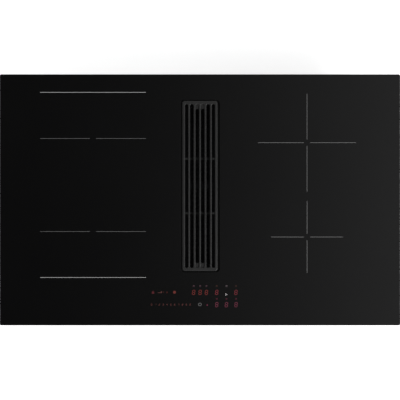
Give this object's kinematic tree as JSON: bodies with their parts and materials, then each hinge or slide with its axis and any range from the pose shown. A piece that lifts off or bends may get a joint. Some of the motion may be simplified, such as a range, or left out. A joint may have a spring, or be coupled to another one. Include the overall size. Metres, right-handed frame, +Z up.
{
  "type": "downdraft induction cooktop",
  "caption": "Built-in black glass induction cooktop with a central slatted extractor grille, removable grease filter, drip container and flat duct outlet.",
  "frame": {"origin": "middle of the glass in plan, at the level of the worktop's surface, which is the underside of the perimeter seal", "axes": "+X to the cook's right, +Y to the wall behind, +Z up out of the worktop"},
  "size_m": [0.83, 0.52, 0.216],
  "materials": {
    "ceramic_glass": "polished black ceramic glass, opaque",
    "foam_seal": "closed-cell foam",
    "aluminium": "mill finish",
    "galvanised_tray": "zinc-coated sheet, spangled",
    "screw_steel": "zinc plated",
    "bracket_steel": "zinc plated",
    "black_plastic": "fine moulded grain",
    "grille_iron": "matt black enamel",
    "stainless": "brushed stainless steel, blackened",
    "container_plastic": "smooth moulded",
    "housing_plastic": "fine moulded grain",
    "motor_body": "die cast",
    "rubber": "matt",
    "impeller_plastic": "moulded",
    "copper": "enamelled copper strand",
    "carrier_plastic": "moulded",
    "mica": "pressed sheet",
    "ferrite": "sintered",
    "ceramic_sensor": "glazed",
    "circuit_board": "solder mask",
    "components": "sleeved",
    "terminal_plastic": "moulded",
    "cable_sheath": "matt"
  },
  "bodies": {
    "hob": {"glass_plate": "ceramic_glass", "worktop_seal": "foam_seal", "liner_seal": "foam_seal", "glass_frame": "aluminium", "base_tray": "galvanised_tray", "tray_screws": "screw_steel", "hold_down_brackets": "bracket_steel", "hold_down_screws": "screw_steel", "shaft_liner": "black_plastic", "air_housing": "housing_plastic", "housing_screws": "screw_steel", "fan_scroll": "housing_plastic", "scroll_cover": "housing_plastic", "outlet_spigot": "housing_plastic", "fan_motor": "motor_body", "motor_pads": "rubber", "motor_screws": "screw_steel", "left_rear_winding": "copper", "left_front_winding": "copper", "right_rear_winding": "copper", "right_front_winding": "copper", "left_rear_carrier": "carrier_plastic", "left_front_carrier": "carrier_plastic", "right_rear_carrier": "carrier_plastic", "right_front_carrier": "carrier_plastic", "mica_sheets": "mica", "ferrite_bars": "ferrite", "temperature_sensors": "ceramic_sensor", "left_coil_plate": "aluminium", "right_coil_plate": "aluminium", "plate_pillars": "screw_steel", "machine_screws": "screw_steel", "board_spacers": "black_plastic", "left_power_board": "circuit_board", "right_power_board": "circuit_board", "left_heat_sink": "aluminium", "right_heat_sink": "aluminium", "left_board_components": "components", "right_board_components": "components", "left_fan_frame": "black_plastic", "right_fan_frame": "black_plastic", "display_mask": "black_plastic", "touch_springs": "screw_steel", "touch_board": "circuit_board", "control_bridge": "bracket_steel", "terminal_box": "terminal_plastic", "terminal_cover": "terminal_plastic", "terminal_block": "terminal_plastic", "cable_gland": "black_plastic", "floor_grommet": "rubber", "wiring_loom": "cable_sheath"},
    "container": {"drip_container": "container_plastic"},
    "filter": {"filter_frame": "stainless", "filter_basket": "stainless", "filter_handle": "stainless"},
    "grille": {"grille": "grille_iron"},
    "impeller": {"impeller": "impeller_plastic", "impeller_nut": "screw_steel"},
    "left_cooler": {"left_fan_rotor": "black_plastic"},
    "right_cooler": {"right_fan_rotor": "black_plastic"}
  },
  "joints": [
    {"name": "container_lift", "type": "slide", "parent": "hob", "child": "container", "axis": [0, 0, 1], "range_m": [0, 0.22]},
    {"name": "filter_lift", "type": "slide", "parent": "container", "child": "filter", "axis": [0, 0, 1], "range_m": [0, 0.12]},
    {"name": "grille_lift", "type": "slide", "parent": "filter", "child": "grille", "axis": [0, 0, 1], "range_m": [0, 0.05]},
    {"name": "impeller_spin", "type": "hinge", "parent": "hob", "child": "impeller", "pos_m": [0.162, -0.0352, -0.1565], "axis": [0, 0, 1], "continuous": true},
    {"name": "left_cooler_spin", "type": "hinge", "parent": "hob", "child": "left_cooler", "pos_m": [-0.345, -0.15, -0.0535], "axis": [0, 0, 1], "continuous": true},
    {"name": "right_cooler_spin", "type": "hinge", "parent": "hob", "child": "right_cooler", "pos_m": [0.345, -0.15, -0.0535], "axis": [0, 0, 1], "continuous": true}
  ]
}
